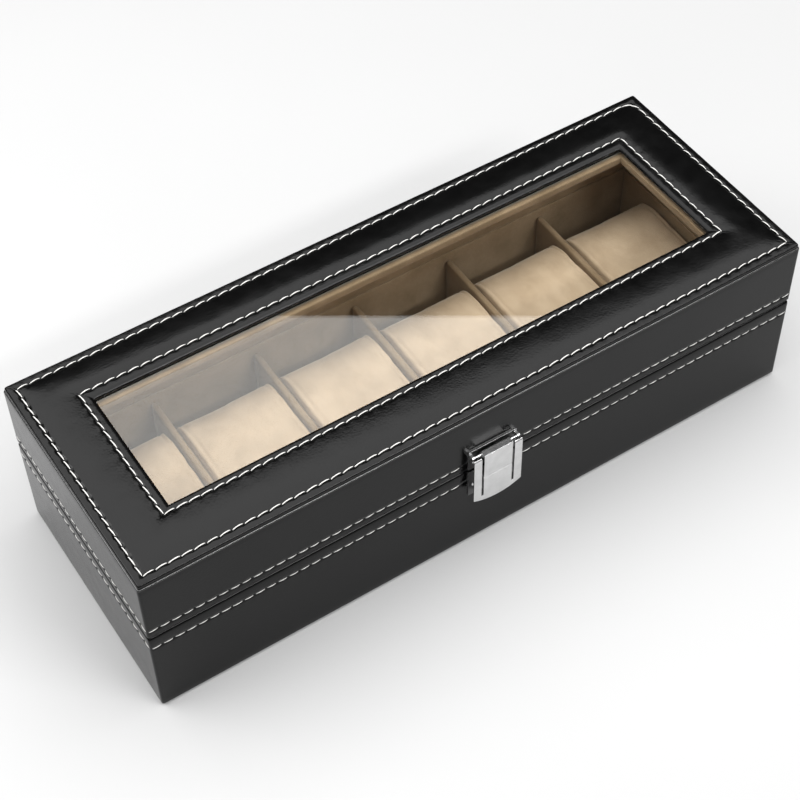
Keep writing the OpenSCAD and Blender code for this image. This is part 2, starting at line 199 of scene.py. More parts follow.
def outward(piece):
    """Face normals that point out of the closed mesh."""
    bm = bmesh.new()
    bm.from_mesh(piece.data)
    bmesh.ops.recalc_face_normals(bm, faces=bm.faces)
    if bm.calc_volume(signed=True) < 0:
        bmesh.ops.reverse_faces(bm, faces=bm.faces)
    bm.to_mesh(piece.data)
    bm.free()


def soft_block(name, lo, hi, radius, cell, unevenness, seed):
    """Block with round edges and a slightly uneven skin: card covered with velvet."""
    step = np.array([0, 0.25, 0.6, 1.0]) * radius

    def axis_points(a, b):
        inner = np.linspace(a + radius, b - radius, max(2, round((b - a - 2 * radius) / cell) + 1))
        return np.concatenate([a + step[:-1], inner, b - step[:-1][::-1]])

    axes = [axis_points(lo[k], hi[k]) for k in range(3)]
    index, points, faces = {}, [], []

    def vertex(key):
        if key not in index:
            index[key] = len(points)
            points.append([axes[k][key[k]] for k in range(3)])
        return index[key]

    for k in range(3):
        a, b = (k + 1) % 3, (k + 2) % 3
        for end in (0, len(axes[k]) - 1):
            for i in range(len(axes[a]) - 1):
                for j in range(len(axes[b]) - 1):
                    face = []
                    for di, dj in ((0, 0), (1, 0), (1, 1), (0, 1)):
                        key = [0, 0, 0]
                        key[k], key[a], key[b] = end, i + di, j + dj
                        face.append(vertex(tuple(key)))
                    faces.append(face if end else face[::-1])
    points = np.array(points)
    core = np.clip(points, np.array(lo) + radius, np.array(hi) - radius)
    out = points - core
    length = np.linalg.norm(out, axis=1, keepdims=True)
    out = out / np.maximum(length, 1e-9)
    points = core + out * (radius - unevenness * (0.5 - 0.5 * ripple(points, 14 * MM, seed))[:, None])
    return mesh_object(name, points, faces)


def rounded_copy(name, node, width, segments=2):
    """The CAD node's own shape with its sharp edges rounded a little."""
    bm = bmesh.new()
    bm.from_mesh(frame["nodes"][node].data)
    bmesh.ops.remove_doubles(bm, verts=bm.verts, dist=0.002 * MM)
    bmesh.ops.dissolve_limit(bm, angle_limit=math.radians(1), verts=bm.verts, edges=bm.edges)
    sharp = [e for e in bm.edges if len(e.link_faces) == 2 and e.calc_face_angle() > math.radians(28)]
    bmesh.ops.bevel(bm, geom=sharp, offset=width, offset_type="OFFSET", segments=segments,
                    profile=0.5, affect="EDGES", clamp_overlap=True)
    bmesh.ops.triangulate(bm, faces=[f for f in bm.faces if len(f.verts) > 4])
    mesh = bpy.data.meshes.new(name)
    bm.to_mesh(mesh)
    bm.free()
    mesh.shade_smooth()
    piece = new_object(name, mesh)
    even = piece.modifiers.new("even_normals", "WEIGHTED_NORMAL")
    even.weight = 100
    return piece


def cut_boxes(piece, boxes):
    """Cuts boxes out of a closed mesh, such as the beds of the hinge leaves."""
    for lo, hi in boxes:
        bpy.ops.mesh.primitive_cube_add(size=1)
        cutter = bpy.context.object
        cutter.scale = [hi[k] - lo[k] for k in range(3)]
        cutter.location = [(hi[k] + lo[k]) / 2 for k in range(3)]
        bpy.context.view_layer.update()
        cut = piece.modifiers.new("bed", "BOOLEAN")
        cut.operation, cut.solver, cut.object = "DIFFERENCE", "EXACT", cutter
        bpy.context.view_layer.objects.active = piece
        bpy.ops.object.modifier_apply(modifier=cut.name)
        bpy.data.objects.remove(cutter)


# ---------------------------------------------------------------- materials


class Nodes:
    """A short way to write a material's node tree."""

    def __init__(self, name):
        self.material = bpy.data.materials.new(name)
        self.material.use_nodes = True
        self.tree = self.material.node_tree
        self.tree.nodes.clear()
        self.output = self.tree.nodes.new("ShaderNodeOutputMaterial")
        self.place = self.tree.nodes.new("ShaderNodeTexCoord").outputs["Object"]

    def add(self, kind, links, **values):
        node = self.tree.nodes.new("ShaderNode" + kind)
        for key, value in values.items():
            setattr(node, key, value)
        for key, value in links.items():
            socket = node.inputs[key]
            if isinstance(value, bpy.types.NodeSocket):
                self.tree.links.new(value, socket)
            else:
                socket.default_value = value
        return node

    def scaled(self, x, y, z):
        return self.add("Mapping", {"Vector": self.place, "Scale": (x, y, z)}).outputs[0]

    def noise(self, scale, detail, roughness=0.5, vector=None):
        return self.add("TexNoise", {"Vector": vector or self.place, "Scale": scale, "Detail": detail,
                                     "Roughness": roughness}).outputs["Fac"]

    def ramp(self, factor, low, high, a, b):
        """Colour or grey that goes from a at low to b at high."""
        node = self.add("ValToRGB", {"Fac": factor})
        first, last = node.color_ramp.elements
        first.position, last.position = low, high
        first.color, last.color = grey(a), grey(b)
        return node.outputs["Color"]

    def remap(self, value, from_low, from_high, low, high):
        return self.add("MapRange", {"Value": value, "From Min": from_low, "From Max": from_high,
                                     "To Min": low, "To Max": high}).outputs["Result"]

    def bumped(self, height, distance, strength, under=None):
        links = {"Height": height, "Distance": distance, "Strength": strength}
        if under is not None:
            links["Normal"] = under
        return self.add("Bump", links).outputs["Normal"]

    def principled(self, **links):
        names = {key.replace("_", " "): value for key, value in links.items()}
        shader = self.add("BsdfPrincipled", names)
        self.tree.links.new(shader.outputs[0], self.output.inputs["Surface"])
        return self.material


def grey(value):
    if isinstance(value, (int, float)):
        return (value, value, value, 1)
    return (*value, 1)


def leather_material(name, rough_low, rough_high, ior):
    n = Nodes(name)
    cells = n.add("TexVoronoi", {"Vector": n.place, "Scale": 1250.0, "Randomness": 0.9}, feature="SMOOTH_F1")
    pores = cells.outputs["Distance"]
    fine = n.noise(2600, 3)
    broad = n.noise(26, 3)
    wear = n.noise(140, 5, 0.62)
    grain = n.bumped(pores, 0.06 * MM, 0.5)
    grain = n.bumped(fine, 0.02 * MM, 0.5, grain)
    grain = n.bumped(broad, 0.4 * MM, 0.2, grain)
    return n.principled(
        Base_Color=n.ramp(wear, 0.3, 0.75, 0.002, 0.0035),
        Roughness=n.remap(wear, 0.3, 0.7, rough_low, rough_high),
        IOR=ior,
        Specular_IOR_Level=1.0,
        Normal=grain,
    )


def thread_material():
    n = Nodes("white_thread")
    fibres = n.noise(5200, 3, 0.6)
    return n.principled(
        Base_Color=n.ramp(fibres, 0.25, 0.8, (0.70, 0.69, 0.66), (0.93, 0.92, 0.89)),
        Roughness=0.62,
        Sheen_Weight=0.3,
        Normal=n.bumped(fibres, 0.05 * MM, 0.6),
    )


def velvet_material(name, dark, light, grain):
    """Short pile: grain is how strongly its fibres show against its brushed patches."""
    n = Nodes(name)
    pile = n.noise(2300, 4, 0.65)
    brushed = n.noise(1.0, 5, 0.6, n.scaled(90, 60, 75))
    patches = n.noise(28, 3, 0.5)
    tone = n.add("Mix", {"Factor": 1 - 0.55 * grain, 6: n.ramp(pile, 0.3, 0.75, dark, light),
                         7: n.ramp(brushed, 0.3, 0.72, dark, light)}, data_type="RGBA").outputs[2]
    shade = n.add("Mix", {"Factor": 1.0, 6: tone, 7: n.ramp(patches, 0.3, 0.7, 0.86, 1.0)},
                  data_type="RGBA", blend_type="MULTIPLY").outputs[2]
    nap = n.bumped(pile, 0.16 * MM * grain, 0.6)
    nap = n.bumped(brushed, 0.5 * MM, 0.35, nap)
    return n.principled(
        Base_Color=shade,
        Roughness=0.92,
        Specular_IOR_Level=0.15,
        Sheen_Weight=0.55,
        Sheen_Roughness=0.35,
        Sheen_Tint=(1.0, 0.93, 0.82, 1.0),
        Normal=nap,
    )


def felt_material():
    n = Nodes("black_felt")
    fibres = n.noise(900, 6, 0.7)
    return n.principled(
        Base_Color=n.ramp(fibres, 0.3, 0.75, 0.010, 0.028),
        Roughness=0.96,
        Sheen_Weight=0.25,
        Normal=n.bumped(fibres, 0.3 * MM, 0.7),
    )


def fibreboard_material():
    n = Nodes("fibreboard")
    chips = n.noise(700, 7, 0.7)
    cloud = n.noise(60, 3)
    tone = n.add("Mix", {"Factor": 0.3, 6: n.ramp(chips, 0.25, 0.75, (0.27, 0.17, 0.09), (0.50, 0.35, 0.20)),
                         7: n.ramp(cloud, 0.3, 0.7, (0.33, 0.21, 0.12), (0.45, 0.30, 0.17))},
                 data_type="RGBA").outputs[2]
    return n.principled(Base_Color=tone, Roughness=n.remap(chips, 0.3, 0.7, 0.7, 0.9),
                        Normal=n.bumped(chips, 0.12 * MM, 0.5))


def foam_material():
    n = Nodes("foam")
    bubbles = n.add("TexVoronoi", {"Vector": n.place, "Scale": 1100.0}, feature="F1").outputs["Distance"]
    return n.principled(Base_Color=n.ramp(bubbles, 0.05, 0.7, (0.82, 0.79, 0.68), (0.62, 0.57, 0.44)),
                        Roughness=0.95, Normal=n.bumped(bubbles, 0.4 * MM, 0.6))


def tape_material():
    n = Nodes("black_tape")
    cells = n.noise(1500, 4)
    return n.principled(Base_Color=n.ramp(cells, 0.3, 0.7, 0.004, 0.010),
                        Roughness=n.remap(cells, 0.3, 0.7, 0.6, 0.8), Normal=n.bumped(cells, 0.05 * MM, 0.5))


def metal_material(name, dark, light, rough_low, rough_high, grain=1.0):
    n = Nodes(name)
    lines = n.noise(1.0, 4, 0.6, n.scaled(2400, 2400, 130))
    cloud = n.noise(220, 4, 0.6)
    return n.principled(
        Base_Color=n.ramp(cloud, 0.3, 0.7, dark, light),
        Metallic=1.0,
        Roughness=n.remap(lines, 0.25, 0.75, rough_low, rough_high),
        Normal=n.bumped(lines, 0.006 * MM * grain, 0.4),
    )


def glass_material():
    """Clear pane: what is behind it shows straight through, and its surface reflects by Fresnel."""
    n = Nodes("clear_glass")
    smears = n.noise(30, 4, 0.6)
    clear = n.add("BsdfTransparent", {"Color": (0.955, 0.965, 0.955, 1)})
    gloss = n.add("BsdfGlossy", {"Color": (1, 1, 1, 1), "Roughness": n.remap(smears, 0.4, 0.8, 0.0, 0.03)})
    grazing = n.add("LayerWeight", {"Blend": 0.5}).outputs["Facing"]
    rise = n.add("Math", {0: grazing, 1: 5.0}, operation="POWER").outputs[0]
    share = n.remap(rise, 0.0, 1.0, 0.045, 1.0)
    mix = n.add("MixShader", {0: share, 1: clear.outputs[0], 2: gloss.outputs[0]})
    n.tree.links.new(mix.outputs[0], n.output.inputs["Surface"])
    return n.material


def floor_material():
    n = Nodes("pale_floor")
    cloud = n.noise(3, 3)
    return n.principled(Base_Color=n.ramp(cloud, 0.3, 0.7, (0.57, 0.57, 0.57), (0.59, 0.59, 0.59)),
                        Roughness=0.8, Specular_IOR_Level=0.2)


LEATHER = leather_material("black_leather", 0.15, 0.22, 1.22)
WALL_LEATHER = leather_material("wall_leather", 0.15, 0.22, 1.18)
BURNISHED = leather_material("burnished_leather", 0.10, 0.17, 1.5)
THREAD = thread_material()
VELVET = velvet_material("beige_velvet", (0.27, 0.185, 0.11), (0.41, 0.295, 0.192), 0.3)
CUSHION_VELVET = velvet_material("cushion_velvet", (0.52, 0.378, 0.255), (0.71, 0.535, 0.38), 0.2)
FELT = felt_material()
FIBREBOARD = fibreboard_material()
FOAM = foam_material()
TAPE = tape_material()
GLASS = glass_material()
NICKEL = metal_material("bright_nickel", 0.64, 0.75, 0.17, 0.27)
# near-black nickel for the latch's faces behind the flap: painted shade for the flap's shadow, not a duller
# finish
NICKEL_PAINTED_SHADE = metal_material("nickel_painted_shade", 0.09, 0.13, 0.30, 0.42)
STEEL = metal_material("hinge_steel", 0.50, 0.62, 0.28, 0.42, 2.0)
SLOT_MATERIALS = {
    "black_leather": LEATHER, "beige_velvet": VELVET, "black_felt": FELT, "fibreboard": FIBREBOARD,
    "foam": FOAM, "clear_glass": GLASS, "black_tape": TAPE, "latch_nickel": NICKEL, "hinge_steel": STEEL,
}


def dress_cad_nodes():
    """Every CAD node gets its slot's procedural material."""
    for part in frame["record"]["subparts"]:
        node = frame["nodes"][part["node"]]
        material = SLOT_MATERIALS[part["material_slot"]]
        for k in range(max(1, len(node.data.materials))):
            if k < len(node.data.materials):
                node.data.materials[k] = material
            else:
                node.data.materials.append(material)


# ---------------------------------------------------------------- stitches

TOP_PITCH = 5.15 * MM
WALL_PITCH = 4.8 * MM
WALL_ROW_IN = 0.33 * MM     # how far the wall's threads lie in from the case's outline
# a thread's length, radius, rise over the leather, sink into it at its ends, and slant in degrees
TOP_THREAD = (4.6 * MM, 0.22 * MM, 0.48 * MM, 0.05 * MM, 6)
WALL_THREAD = (3.7 * MM, 0.17 * MM, 0.18 * MM, -0.08 * MM, 2)


def stitch_places(half_x, half_y, pitch):
    """Middle of each stitch on a rectangle's four sides, with its direction and its side."""
    places = []
    corners = ((-1, -1), (1, -1), (1, 1), (-1, 1))
    for side, (a, b) in enumerate(zip(corners, corners[1:] + corners[:1])):
        start = np.array([a[0] * half_x, a[1] * half_y])
        run = np.array([b[0] * half_x, b[1] * half_y]) - start
        count = round(np.linalg.norm(run) / pitch)
        for k in range(count):
            middle = start + run * (k + 0.5) / count
            places.append((middle, run / np.linalg.norm(run), side))
    return places


def thread_stitches(name, places, up_of, thread, seed):
    """One short twisted thread per place: it comes up out of its hole, arches over and goes down."""
    length, radius, rise, sink, slant = thread
    draw = np.random.RandomState(seed)
    around, along = 8, 11
    points, faces = [], []
    s = np.linspace(0, 1, along)
    for at, direction, side in places:
        up = np.array(up_of(side))
        across = np.cross(up, direction)
        angle = math.radians(slant + draw.uniform(-2.5, 2.5))
        heading = direction * math.cos(angle) + across * math.sin(angle)
        lateral = np.cross(up, heading)
        size = draw.uniform(0.95, 1.05)
        first = len(points)
        arch = np.sin(math.pi * s) ** 0.7
        for k in range(along):
            middle = at + heading * (s[k] - 0.5) * length * size + up * (rise * arch[k] - sink)
            thick = radius * size * (0.62 + 0.38 * arch[k])
            for j in range(around):
                a = 2 * math.pi * j / around
                ply = 1 + 0.11 * math.cos(2 * a - 9.5 * s[k])
                points.append(middle + (lateral * math.cos(a) * 1.12 + up * math.sin(a) * 0.85) * thick * ply)
        for k in range(along - 1):
            for j in range(around):
                a, b = first + k * around + j, first + k * around + (j + 1) % around
                faces.append((a, b, b + around, a + around))
        faces.append(tuple(first + j for j in reversed(range(around))))
        last = first + (along - 1) * around
        faces.append(tuple(last + j for j in range(around)))
    return mesh_object(name, points, faces)


def row_phase(sides, grid, half_x, half_y, pitch):
    """Phase of the stitch pattern at each point: 0 at the needle holes, pi in the middle of a stitch."""
    counts = (round(2 * half_x / pitch), round(2 * half_y / pitch))
    x_phase = (grid[..., 0] + half_x) / (2 * half_x) * counts[0]
    y_phase = (grid[..., 1] + half_y) / (2 * half_y) * counts[1]
    return np.where(np.isin(sides, (0, 2)), x_phase, y_phase) * 2 * math.pi


# ---------------------------------------------------------------- leather


# heights of the padded top above its underside, in mm
OUTER_FLAT, INNER_FLAT = 1.72, 1.95     # outside the outer stitch row, and inside the inner row
CROWN_FOOT, CROWN_TILT, CROWN = 1.52, 0.25, 0.69
EDGE_FALL, EDGE_FALL_W = 0.10, 1.2      # the flats' fall toward their free edges, and how wide it is
ROW_DEPTH, ROW_W = 0.36, 0.6            # the groove that a stitch row pulls into the pad
BACK_PEAK, FRONT_PEAK = 0.66, 0.36      # where between the rows the crown is highest, from 0 outer to 1 inner
FAR = 1000.0


def pad_height(dx, dy=FAR, peak=BACK_PEAK):
    """Height of the padded top at dx and dy mm from the panel's nearest sides, with its crown's peak."""
    outer, inner = [(row - panel_inset) / MM for row in top_stitch_in]
    width = (border_w - panel_inset) / MM
    edge = np.minimum(dx, dy)
    past_inner = np.hypot(np.maximum(inner - dx, 0), np.maximum(inner - dy, 0))
    past_outer = (np.maximum(dx - outer, 0.01) ** -3 + np.maximum(dy - outer, 0.01) ** -3) ** (-1 / 3)
    across = past_outer / (past_outer + past_inner)
    down = (across - peak) / np.where(across < peak, peak, 1 - peak)
    crown = CROWN_FOOT + CROWN_TILT * across + CROWN * (1 - down ** 2)
    from_edge = np.minimum(edge, width - edge)
    flat = np.where(edge < outer, OUTER_FLAT, INNER_FLAT) - EDGE_FALL * np.exp(-from_edge / EDGE_FALL_W)
    height = np.where((edge > outer) & (past_inner > 0), crown, flat)
    for from_row in (edge - outer, np.where(past_inner > 0, past_inner, edge - inner)):
        height = height - ROW_DEPTH * bump(from_row, ROW_W)
    return height


# how far off the middle the outer stitch row, the inner row and the window's edge are sewn
TO_RIGHT = (0, 0.4 * MM, 0.3 * MM)
TO_BACK = (0, 2.0 * MM, 1.0 * MM)
BACK_SAG = (0, 0.8 * MM, 0)
NARROWER = (0, 0.008, 0.008)


def off_middle(xy, inset):
    """Points of the padded border at an inset from the case's edge: its window is sewn a little off the
    middle, and the inner stitch row sags a little along the back."""
    rows = (*top_stitch_in, border_w)
    parts = (TO_RIGHT, TO_BACK, BACK_SAG, NARROWER)
    right, back, sag, narrower = (np.interp(inset, rows, at) for at in parts)
    sag = sag * (1 - (xy[..., 0] / base_hi.x) ** 2) * (xy[..., 1] > 0)
    return np.stack([xy[..., 0] * (1 - narrower) + right, xy[..., 1] + back - sag], axis=-1)


def border_shape(grid, section, sides):
    grid[..., :2] = off_middle(grid[..., :2], (section[:, 0] + panel_inset)[:, None])
    return grid


def pad_peak(xy):
    """Where the pad is highest between its stitch rows: nearer the outer row along the front and the left."""
    back_right = np.minimum(panel_hi.x - xy[..., 0], panel_hi.y - xy[..., 1])
    front_left = np.minimum(panel_hi.x + xy[..., 0], panel_hi.y + xy[..., 1])
    blend_w = 24 * MM
    nearness = np.clip((back_right - front_left) / blend_w + 0.5, 0, 1)
    return BACK_PEAK + (FRONT_PEAK - BACK_PEAK) * nearness


def top_section():
    """Closed outline of the top leather: over the pad from edge to window, and back under it."""
    width, skin = (border_w - panel_inset) / MM, leather_t / MM
    round_r, bend_w, bend_h = 0.85, 1.9, 1.25      # the outer edge's rounding and the bend down to the glass
    fine, coarse, near_rows = 0.3, 1.1, 7.4
    over = [(0.12, 0.0), (0.0, 0.16), (0.0, 0.45)]
    for k in range(7):
        a = math.radians(90 * k / 6)
        over.append((round_r * (1 - math.cos(a)), pad_height(round_r) - round_r * (1 - math.sin(a))))
    steps = [*np.arange(round_r + fine, 7.0, fine), *np.arange(near_rows, width - 8.0, coarse)]
    steps += [*np.arange(width - near_rows, width - bend_w, fine)]
    over += [(d, pad_height(d)) for d in steps]
    for k in range(9):
        a = math.radians(90 * k / 8)
        down = pad_height(width - bend_w) - bend_h * (1 - math.cos(a))
        over.append((width - bend_w * (1 - math.sin(a)), down))
    over += [(width, 0.4), (width, 0.14), (width - 0.12, 0.0)]
    under = [(width - skin, 0.0), (width - skin, 0.5)]
    under += [(d, pad_height(d) - skin) for d in np.arange(width - 2, 1.5, -0.8)]
    under += [(skin, 0.5), (skin, 0.0)]
    return [(d * MM, pad_z + h * MM) for d, h in over + under]


def top_shape(grid, section, sides):
    """Puckers at the stitch holes, creases across the seams and slow waves in the padded top."""
    top = (section[:, 1] > pad_z + leather_t)[:, None]
    lift = np.zeros(grid.shape[:2])
    inset = section[:, 0][:, None]
    straight = (sides >= 0)[None, :]
    for row in top_stitch_in:
        from_row = inset - (row - panel_inset)
        phase = row_phase(sides, grid, base_hi.x - row, base_hi.y - row, TOP_PITCH)
        near = bump(from_row, 0.9 * MM)
        lift += near * (-0.15 * MM * np.cos(phase)) * straight
        wide = bump(from_row, 2.4 * MM) * (1 - 0.6 * near)
        lift += wide * (-0.02 * MM * np.cos(phase + 0.4) + 0.03 * MM * ripple(grid, 5.5 * MM, 31)) * straight
    lift += 0.07 * MM * ripple(grid, 34 * MM, 32) - 0.05 * MM
    lift += 0.025 * MM * ripple(grid, 7 * MM, 33)
    from_sides = [(hi - np.abs(grid[..., k])) / MM for k, hi in ((0, panel_hi.x), (1, panel_hi.y))]
    lift += (pad_height(*from_sides, pad_peak(grid)) - pad_height(inset / MM)) * MM
    grid[..., 2] += np.where(top, lift, 0)
    grid[..., 2] = np.minimum(grid[..., 2], panel_hi.z)
    return border_shape(grid, section, sides)


def wall_shape(stitch_z, half_x, half_y, seed):
    """Groove and puckers along a wall's stitch row, and slow waves in the leather. Moves points in or out."""

    def shape(grid, section, sides):
        outer = (section[:, 0] < 0.9 * MM)[:, None]
        from_row = section[:, 1][:, None] - stitch_z
        phase = row_phase(sides, grid, half_x, half_y, WALL_PITCH)
        near = bump(from_row, 0.75 * MM)
        push = -0.30 * MM * near - 0.10 * MM * near * np.cos(phase)
        push += -0.05 * MM * bump(from_row, 2.0 * MM) * np.cos(phase + 0.5)
        push += -0.03 * MM + 0.03 * MM * ripple(grid, 45 * MM, seed)
        on_corner = (sides < 0)[None, :]
        push = np.where(outer, np.where(on_corner, -0.03 * MM, push), 0)
        out = np.zeros(grid.shape[:2] + (2,))
        out[..., 0] = np.where(sides == 1, 1, np.where(sides == 3, -1, 0))[None, :]
        out[..., 1] = np.where(sides == 2, 1, np.where(sides == 0, -1, 0))[None, :]
        grid[..., :2] += out * push[..., None]
        return grid

    return shape


def arc_points(centre, radius, start, end, count):
    angles = [math.radians(start + (end - start) * k / count) for k in range(count + 1)]
    return [(centre[0] + radius * math.cos(a), centre[1] + radius * math.sin(a)) for a in angles]


def wall_rows(low, high, stitch_z):
    """Heights of a wall's rows: close together at the stitch row, wide apart elsewhere."""
    near = [stitch_z + k * 0.3 * MM for k in range(-9, 10)]
    below = list(np.linspace(low, near[0], max(2, round((near[0] - low) / (2.5 * MM))), endpoint=False))
    above = list(np.linspace(near[-1], high, max(2, round((high - near[-1]) / (2.5 * MM)))))[1:]
    return [z for z in below + near + above if low <= z <= high]


def lid_section():
    """Outline of the lid's wall leather: in under the rim, round its edge and up the wall."""
    r, top_r = lid_rim_r, wall_top_r
    z0, z1 = lid_lo.z, lid_hi.z
    outline = [(rim_w, z0), (rim_w / 2, z0)] + arc_points((r, z0 + r), r, 270, 180, 5)
    outline += [(0, z) for z in wall_rows(z0 + r, z1 - top_r, lid_stitch_z)][1:]
    outline += arc_points((top_r, z1 - top_r), top_r, 180, 90, 5)[1:]
    outline += [(leather_t, z1), (leather_t, z0 + leather_t), (rim_w, z0 + leather_t)]
    return outline


def base_section():
    """Outline of the base's wall leather: hem under the base, up the wall and in over the rim."""
    r = base_rim_r
    z0, z1 = base_lo.z, base_hi.z
    outline = [(hem_w, z0), (hem_w / 2, z0)] + arc_points((hem_r, z0 + hem_r), hem_r, 270, 180, 4)
    outline += [(0, z) for z in wall_rows(z0 + hem_r, z1 - r, base_stitch_z)][1:]
    outline += arc_points((r, z1 - r), r, 180, 90, 5)[1:]
    outline += [(rim_w / 2, z1), (rim_w, z1), (rim_w, z1 - leather_t), (leather_t, z1 - leather_t)]
    outline += [(leather_t, z0 + leather_t), (hem_w, z0 + leather_t)]
    return outline


def leaf_beds(which):
    """Boxes of the hinge leaves' beds in a rim, 0 for the base's and 1 for the lid's: each leaf's plate,
    without its barrel."""
    plate_t, spare = 0.6 * MM, 1 * MM
    z = (base_hi.z - plate_t, base_hi.z + spare) if which == 0 else (lid_lo.z - spare, lid_lo.z + plate_t)
    beds = []
    for side in ("left", "right"):
        lo, hi = leaf_boxes[side][which]
        beds.append(((lo.x, lo.y, z[0]), (hi.x, base_hi.y + spare, z[1])))
    return beds


def make_leather():
    top = band("top_leather", panel_hi.x, panel_hi.y, top_section(), 1.0 * MM, leather_cell, top_shape)
    dress(top, "lid", "black_leather", LEATHER, "lid_top_leather")

    walls = band("lid_leather", lid_hi.x, lid_hi.y, lid_section(), upright_r, leather_cell,
                 wall_shape(lid_stitch_z, lid_hi.x, lid_hi.y, 41))
    cut_boxes(walls, leaf_beds(1))
    dress(walls, "lid", "black_leather", WALL_LEATHER, "lid_wall_leather")
    walls.data.materials.append(BURNISHED)
    for face in walls.data.polygons:
        face.material_index = int(face.center.z > lid_hi.z - wall_top_r)

    walls = band("base_leather", base_hi.x, base_hi.y, base_section(), upright_r, leather_cell,
                 wall_shape(base_stitch_z, base_hi.x, base_hi.y, 42))
    cut_boxes(walls, leaf_beds(0))
    dress(walls, "base", "black_leather", WALL_LEATHER, "base_wall_leather")


def make_foam():
    """Foam under the top leather, pressed in along the stitch rows like the leather."""
    skin, under_z = 1.05, pad_z + 0.02 * MM     # the leather with a little play, in mm
    width = (border_w - panel_inset) / MM - skin
    over = [(d * MM, pad_z + (pad_height(d) - skin) * MM) for d in np.arange(skin, width, 0.8)]
    under = [(width * MM, under_z), (skin * MM, under_z)]
    foam = band("top_foam", panel_hi.x, panel_hi.y, over + under, 0.5 * MM, 4 * MM, border_shape)
    dress(foam, "lid", "foam", FOAM, "lid_top_foam")


def round_corner(at, direction, half_x, half_y, radius):
    """Middle and direction of a stitch in a row whose back right corner is sewn round."""
    centre = np.array([half_x - radius, half_y - radius])
    past = at - centre
    if min(past) <= 0:
        return at, direction
    out = past / np.linalg.norm(past)
    return centre + out * radius, np.array([-out[1], out[0]])


def make_stitches():
    def lifted(places, z):
        return [(np.array([m[0], m[1], z]), np.array([d[0], d[1], 0.0]), side) for m, d, side in places]

    rows = (
        ("outer", top_stitch_in[0], 1.36 * MM, 6 * MM, 51),
        ("inner", top_stitch_in[1], 1.52 * MM, 0, 52),
    )
    for name, row, groove, corner_r, seed in rows:
        half_x, half_y = base_hi.x - row, base_hi.y - row
        places = []
        for at, direction, side in stitch_places(half_x, half_y, TOP_PITCH):
            at, direction = round_corner(at, direction, half_x, half_y, corner_r)
            places.append((off_middle(at, row), direction, side))
        threads = thread_stitches(
            f"top_{name}_stitches", lifted(places, pad_z + groove), lambda side: (0, 0, 1), TOP_THREAD, seed)
        dress(threads, "lid", "black_leather", THREAD)

    normals = {0: (0, -1, 0), 1: (1, 0, 0), 2: (0, 1, 0), 3: (-1, 0, 0)}
    plates = (
        (bracket_lo, bracket_hi, "lid", lid_stitch_z, 53),
        (keeper_lo, keeper_hi, "base", base_stitch_z, 54),
    )
    for plate_lo, plate_hi, body, z, seed in plates:
        places = stitch_places(base_hi.x - WALL_ROW_IN, base_hi.y - WALL_ROW_IN, WALL_PITCH)
        shown = [p for p in lifted(places, z)
                 if p[2] != 0 or not plate_lo.x - 1 * MM < p[0][0] < plate_hi.x + 1 * MM]
        threads = thread_stitches(
            f"{body}_wall_stitches", shown, lambda side: normals[side], WALL_THREAD, seed)
        dress(threads, body, "black_leather", THREAD)


# ---------------------------------------------------------------- velvet linings


def make_linings():
    seed = 60
    for body in ("base", "lid"):
        for side in ("front", "back", "left", "right"):
            node = f"{body}_{side}_lining"
            lo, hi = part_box(node)
            panel = soft_block(f"{node}_panel", lo, hi, 0.7 * MM, 5 * MM, 0.18 * MM, seed)
            dress(panel, body, "beige_velvet", VELVET, node)
            seed += 1
    lo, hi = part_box("base_floor_lining")
    dress(soft_block("base_floor_velvet", lo, hi, 0.5 * MM, 5 * MM, 0.15 * MM, seed),
          "base", "beige_velvet", VELVET, "base_floor_lining")
    dividers = [name for name in frame["nodes"] if name.startswith("divider_")]
    for k, node in enumerate(sorted(dividers)):
        lo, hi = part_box(node)
        wall = soft_block(f"{node}_velvet", lo, hi, 1.35 * MM, 4 * MM, 0.25 * MM, seed + 1 + k)
        dress(wall, "base", "beige_velvet", VELVET, node)


def make_ceiling():
    """Velvet under the top board that turns up round the window and is folded out under the glass."""
    half_x, half_y = ceiling_hi.x, ceiling_hi.y
    face = half_x - (base_hi.x - border_w - ledge)
    velvet_t, gap = 1 * MM, 0.1 * MM
    z0, z1, fold_lo, fold_hi = ceiling_lo.z, ceiling_lo.z + velvet_t, tape_lo.z, tape_hi.z
    r, top_r = 0.6 * MM, 0.5 * MM
    outline = [(gap, z0), (face / 2, z0)] + arc_points((face - r, z0 + r), r, 270, 360, 4)
    outline += [(face, (z0 + fold_hi) / 2)] + arc_points((face - top_r, fold_hi - top_r), top_r, 0, 90, 4)
    outline += [(face - fold_w, fold_hi), (face - fold_w, fold_lo), (face - velvet_t, fold_lo)]
    outline += [(face - velvet_t, z1), (face / 2, z1), (gap, z1)]
    ceiling = band("ceiling_velvet", half_x, half_y, outline, 0.6 * MM, 4 * MM)
    dress(ceiling, "lid", "beige_velvet", VELVET, "lid_ceiling_velvet")


# ---------------------------------------------------------------- cushions

SIM_SCALE = 5.0      # the cloth is simulated at furniture size, where its settings behave
LONG_CELLS = 24      # cells on the profile's top and bottom
TALL_CELLS = 13      # cells on its front and back
CROSS_CELLS = 16     # cells from one end to the other
LAST_FRAME = 20      # the simulation runs from frame 1 to this one
CUSHION_R = 14 * MM  # rounding of the profile's corners
SMALLER = (1.1 * MM, 1.5 * MM, 1.3 * MM)    # how far the empty cover stays inside its box on each side
PUFF = (1.0 * MM, 1.5 * MM, 1.3 * MM)       # how far the filling may push it out along each axis


